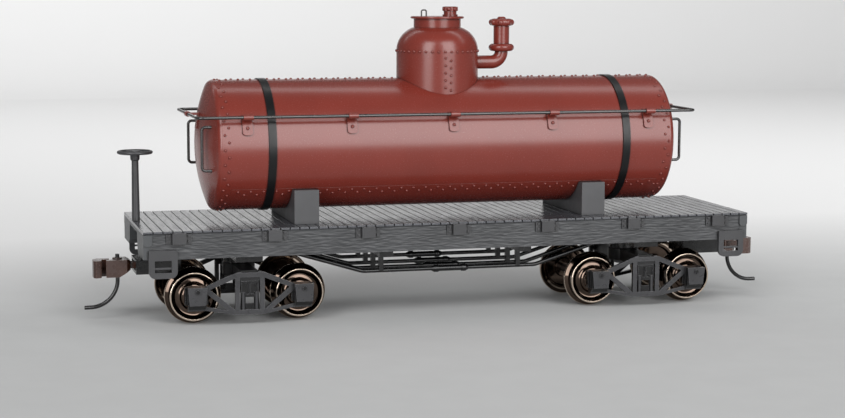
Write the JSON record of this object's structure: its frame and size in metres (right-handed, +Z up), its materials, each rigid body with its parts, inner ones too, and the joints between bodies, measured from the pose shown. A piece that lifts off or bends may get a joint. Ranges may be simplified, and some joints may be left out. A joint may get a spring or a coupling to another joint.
{
  "type": "model tank wagon",
  "caption": "Model railway tank wagon: riveted tank with dome, vent and handrail on a planked truss-rod flat wagon with swivelling trucks, rolling wheelsets and knuckle couplers.",
  "frame": {"origin": "on the ground under the middle of the wagon, at the bottom of the wheel flanges", "axes": "+X along the wagon towards the end without the hand brake, +Y across it, +Z up"},
  "size_m": [0.1426, 0.0336, 0.0609],
  "materials": {
    "deck_plastic": "satin grey moulding with a wood grain",
    "frame_plastic": "dark grey moulding",
    "end_plastic": "grey moulding",
    "saddle_plastic": "grey moulding",
    "tank_paint": "satin oxide red",
    "black_trim": "black",
    "rail_wire": "black",
    "truck_plastic": "black moulding",
    "wheel_metal": "blackened metal with bright rims",
    "axle_metal": "plain turned steel",
    "coupler_brown": "dark brown moulding",
    "pin_black": "blackened steel wire",
    "spring_bronze": "thin bronze",
    "screw_steel": "plain steel",
    "ballast_steel": "plain steel plate"
  },
  "bodies": {
    "wagon_body": {"ballast_weight": "ballast_steel", "coupler_box_left": "frame_plastic", "coupler_box_lids": "frame_plastic", "coupler_box_right": "frame_plastic", "coupler_screws": "screw_steel", "coupler_spring_left": "spring_bronze", "coupler_spring_right": "spring_bronze", "deck": "deck_plastic", "dome": "tank_paint", "dome_lid": "tank_paint", "end_beam_left": "end_plastic", "end_beam_right": "end_plastic", "grab_irons": "rail_wire", "handrail": "rail_wire", "handrail_brackets": "tank_paint", "lid_handle": "rail_wire", "lid_valve": "tank_paint", "needle_beams": "frame_plastic", "queen_posts": "frame_plastic", "saddle_left": "saddle_plastic", "saddle_right": "saddle_plastic", "side_sill_front": "frame_plastic", "side_sill_rear": "frame_plastic", "stake_pockets": "frame_plastic", "step_stirrups": "frame_plastic", "tank_band_left": "black_trim", "tank_band_right": "black_trim", "tank_barrel": "tank_paint", "tank_head_left": "tank_paint", "tank_head_right": "tank_paint", "tank_screws": "screw_steel", "truck_screws": "screw_steel", "truss_rods": "frame_plastic", "turnbuckles": "frame_plastic", "underframe": "frame_plastic", "vent_cap": "tank_paint", "vent_pipe": "tank_paint"},
    "truck_left": {"truck_left_bolster": "truck_plastic", "truck_left_frame_front": "truck_plastic", "truck_left_frame_rear": "truck_plastic"},
    "truck_right": {"truck_right_bolster": "truck_plastic", "truck_right_frame_front": "truck_plastic", "truck_right_frame_rear": "truck_plastic"},
    "wheelset_1": {"wheelset_1_axle": "axle_metal", "wheelset_1_wheels": "wheel_metal"},
    "wheelset_2": {"wheelset_2_axle": "axle_metal", "wheelset_2_wheels": "wheel_metal"},
    "wheelset_3": {"wheelset_3_axle": "axle_metal", "wheelset_3_wheels": "wheel_metal"},
    "wheelset_4": {"wheelset_4_axle": "axle_metal", "wheelset_4_wheels": "wheel_metal"},
    "coupler_left": {"coupler_left_head": "coupler_brown"},
    "knuckle_left": {"coupler_left_knuckle": "coupler_brown", "coupler_left_pin": "pin_black"},
    "coupler_right": {"coupler_right_head": "coupler_brown"},
    "knuckle_right": {"coupler_right_knuckle": "coupler_brown", "coupler_right_pin": "pin_black"},
    "hand_brake": {"brake_staff": "frame_plastic", "brake_wheel": "frame_plastic"}
  },
  "joints": [
    {"name": "truck_left_swivel", "type": "hinge", "parent": "wagon_body", "child": "truck_left", "pos_m": [-0.0409, 0, 0.0094], "axis": [0, 0, 1], "range_deg": [-10, 10]},
    {"name": "truck_right_swivel", "type": "hinge", "parent": "wagon_body", "child": "truck_right", "pos_m": [0.0409, 0, 0.0094], "axis": [0, 0, 1], "range_deg": [-10, 10]},
    {"name": "wheelset_1_roll", "type": "hinge", "parent": "truck_left", "child": "wheelset_1", "pos_m": [-0.05125, 0, 0.00553], "axis": [0, 1, 0], "continuous": true},
    {"name": "wheelset_2_roll", "type": "hinge", "parent": "truck_left", "child": "wheelset_2", "pos_m": [-0.03055, 0, 0.00553], "axis": [0, 1, 0], "continuous": true},
    {"name": "wheelset_3_roll", "type": "hinge", "parent": "truck_right", "child": "wheelset_3", "pos_m": [0.03055, 0, 0.00553], "axis": [0, 1, 0], "continuous": true},
    {"name": "wheelset_4_roll", "type": "hinge", "parent": "truck_right", "child": "wheelset_4", "pos_m": [0.05125, 0, 0.00553], "axis": [0, 1, 0], "continuous": true},
    {"name": "coupler_left_swing", "type": "hinge", "parent": "wagon_body", "child": "coupler_left", "pos_m": [-0.0565, 0, 0.01075], "axis": [0, 0, 1], "range_deg": [-10, 10], "stiffness_Nm_per_rad": 0.0002, "deforming": ["coupler_spring_left"]},
    {"name": "knuckle_left_open", "type": "hinge", "parent": "coupler_left", "child": "knuckle_left", "pos_m": [-0.0648, 0, 0.0107], "axis": [0, 0, -1], "range_deg": [0, 30], "stiffness_Nm_per_rad": 0.0002},
    {"name": "coupler_right_swing", "type": "hinge", "parent": "wagon_body", "child": "coupler_right", "pos_m": [0.0565, 0, 0.01075], "axis": [0, 0, 1], "range_deg": [-10, 10], "stiffness_Nm_per_rad": 0.0002, "deforming": ["coupler_spring_right"]},
    {"name": "knuckle_right_open", "type": "hinge", "parent": "coupler_right", "child": "knuckle_right", "pos_m": [0.0648, 0, 0.0107], "axis": [0, 0, -1], "range_deg": [0, 30], "stiffness_Nm_per_rad": 0.0002},
    {"name": "hand_brake_turn", "type": "hinge", "parent": "wagon_body", "child": "hand_brake", "pos_m": [-0.0609, 0.0013, 0.0258], "axis": [0, 0, 1], "continuous": true}
  ]
}
